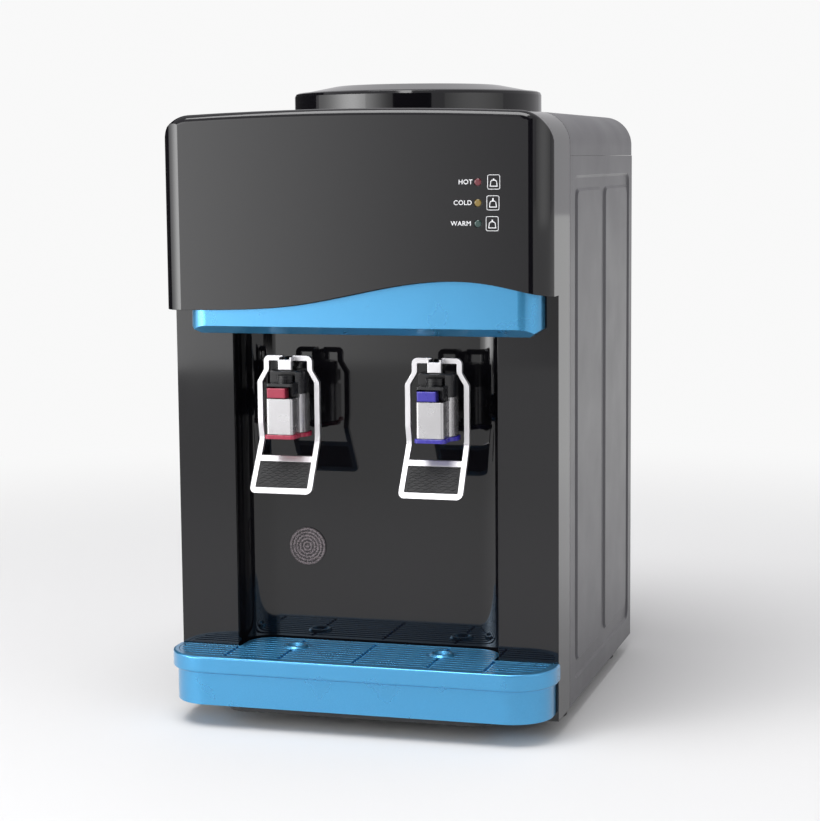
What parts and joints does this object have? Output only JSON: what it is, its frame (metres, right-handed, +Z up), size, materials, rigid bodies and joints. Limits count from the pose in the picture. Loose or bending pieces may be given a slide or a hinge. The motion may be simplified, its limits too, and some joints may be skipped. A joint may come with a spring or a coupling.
{
  "type": "countertop water dispenser",
  "caption": "Countertop water dispenser with a bottle seat on top, hot and cold push-lever taps in an alcove, status lights and a blue drip tray with a lift-out grille.",
  "frame": {"origin": "on the table, under the middle of the overall box", "axes": "+Z up, front faces -Y, +X to the right as seen from the front"},
  "size_m": [0.303, 0.3466, 0.489],
  "materials": {
    "side_steel": "satin dark grey powder coat",
    "cover_grey": "satin dark grey",
    "gloss_black": "high gloss black",
    "black_plastic": "fine matt texture",
    "black_rubber": "matt",
    "metallic_blue": "metallic light blue paint",
    "satin_silver": "satin silver paint",
    "silver_lever": "satin silver paint",
    "red_plastic": "semi gloss",
    "blue_plastic": "semi gloss",
    "lens_red": "clear lens",
    "lens_yellow": "clear lens",
    "lens_green": "clear lens",
    "label_silver": "speckled foil",
    "stainless": "brushed",
    "white_plastic": "natural",
    "silicone": "translucent",
    "foam": "closed-cell foam",
    "bare_aluminium": "milled",
    "circuit_board": "solder mask"
  },
  "bodies": {
    "cabinet": {"right_side_panel": "side_steel", "left_side_panel": "side_steel", "rear_panel": "side_steel", "base_plate": "black_plastic", "rubber_feet": "black_rubber", "rear_screws": "stainless", "top_cover": "cover_grey", "front_frame": "gloss_black", "alcove_liner": "gloss_black", "round_label": "label_silver", "fascia_panel": "gloss_black", "wave_trim": "metallic_blue", "hot_light": "lens_red", "cold_light": "lens_yellow", "warm_light": "lens_green", "light_board": "circuit_board", "bottle_collar": "gloss_black", "pivot_pins": "stainless", "tap_nuts": "white_plastic", "tap_gaskets": "black_rubber", "cold_tank": "stainless", "tank_lid": "white_plastic", "tank_foam": "foam", "cold_block": "bare_aluminium", "peltier_module": "white_plastic", "heat_sink": "bare_aluminium", "fan_frame": "black_plastic", "hot_tank": "stainless", "band_heater": "stainless", "hot_jacket": "foam", "thermostats": "black_plastic", "water_hoses": "silicone", "drain_pipe": "black_plastic", "power_board": "circuit_board", "switch_bases": "black_plastic", "cord_gland": "black_plastic", "hot_tap_body": "black_plastic", "hot_tap_shell": "satin_silver", "hot_tap_skirt": "red_plastic", "hot_valve_spring": "stainless", "cold_tap_body": "black_plastic", "cold_tap_shell": "satin_silver", "cold_tap_skirt": "blue_plastic", "cold_valve_spring": "stainless"},
    "hot_lever": {"hot_lever": "silver_lever", "hot_lever_pad": "black_rubber"},
    "cold_lever": {"cold_lever": "silver_lever", "cold_lever_pad": "black_rubber"},
    "hot_stem": {"hot_valve_stem": "white_plastic"},
    "cold_stem": {"cold_valve_stem": "white_plastic"},
    "hot_lock": {"hot_lock_button": "red_plastic"},
    "cold_lock": {"cold_lock_button": "blue_plastic"},
    "tray": {"drip_tray": "metallic_blue"},
    "grille": {"drip_grille": "metallic_blue"},
    "funnel": {"bottle_funnel": "gloss_black", "feed_spike": "white_plastic"},
    "hot_rocker": {"hot_switch": "red_plastic"},
    "cold_rocker": {"cold_switch": "blue_plastic"},
    "rotor": {"fan_rotor": "black_plastic"},
    "cap": {"drain_cap": "black_plastic"}
  },
  "joints": [
    {"name": "hot_lever_tilt", "type": "hinge", "parent": "cabinet", "child": "hot_lever", "pos_m": [-0.0585, -0.1307, 0.277], "axis": [1, 0, 0], "range_deg": [0, 14], "stiffness_Nm_per_rad": 0.6, "springref_deg": -17.19},
    {"name": "hot_stem_lift", "type": "slide", "parent": "cabinet", "child": "hot_stem", "axis": [0, 0, 1], "range_m": [0, 0.0026], "deforming": ["hot_valve_spring"]},
    {"name": "hot_lock_slide", "type": "slide", "parent": "cabinet", "child": "hot_lock", "axis": [1, 0, 0], "range_m": [0, 0.0045], "stiffness_N_per_m": 200, "springref_m": -0.004},
    {"name": "cold_lever_tilt", "type": "hinge", "parent": "cabinet", "child": "cold_lever", "pos_m": [0.0585, -0.1307, 0.277], "axis": [1, 0, 0], "range_deg": [0, 14], "stiffness_Nm_per_rad": 0.6, "springref_deg": -17.19},
    {"name": "cold_stem_lift", "type": "slide", "parent": "cabinet", "child": "cold_stem", "axis": [0, 0, 1], "range_m": [0, 0.0026], "deforming": ["cold_valve_spring"]},
    {"name": "cold_lock_slide", "type": "slide", "parent": "cabinet", "child": "cold_lock", "axis": [1, 0, 0], "range_m": [0, 0.0045], "stiffness_N_per_m": 200, "springref_m": -0.004},
    {"name": "tray_slide", "type": "slide", "parent": "cabinet", "child": "tray", "axis": [0, -1, 0], "range_m": [0, 0.085]},
    {"name": "grille_lift", "type": "slide", "parent": "tray", "child": "grille", "axis": [0, 0, 1], "range_m": [0, 0.06]},
    {"name": "funnel_lift", "type": "slide", "parent": "cabinet", "child": "funnel", "axis": [0, 0, 1], "range_m": [0, 0.09]},
    {"name": "hot_switch_rock", "type": "hinge", "parent": "cabinet", "child": "hot_rocker", "pos_m": [-0.092, 0.1635, 0.0616], "axis": [1, 0, 0], "range_deg": [0, 14]},
    {"name": "cold_switch_rock", "type": "hinge", "parent": "cabinet", "child": "cold_rocker", "pos_m": [-0.058, 0.1635, 0.0616], "axis": [1, 0, 0], "range_deg": [0, 14]},
    {"name": "fan_spin", "type": "hinge", "parent": "cabinet", "child": "rotor", "pos_m": [0, 0.1457, 0.365], "axis": [0, 1, 0], "continuous": true},
    {"name": "drain_cap_turn", "type": "hinge", "parent": "cabinet", "child": "cap", "pos_m": [0, 0.168, 0.0376], "axis": [0, 1, 0], "continuous": true}
  ],
  "couplings": [
    {"joint": "hot_stem_lift", "follows": "hot_lever_tilt", "m_per_rad": 0.0104},
    {"joint": "cold_stem_lift", "follows": "cold_lever_tilt", "m_per_rad": 0.0104}
  ]
}
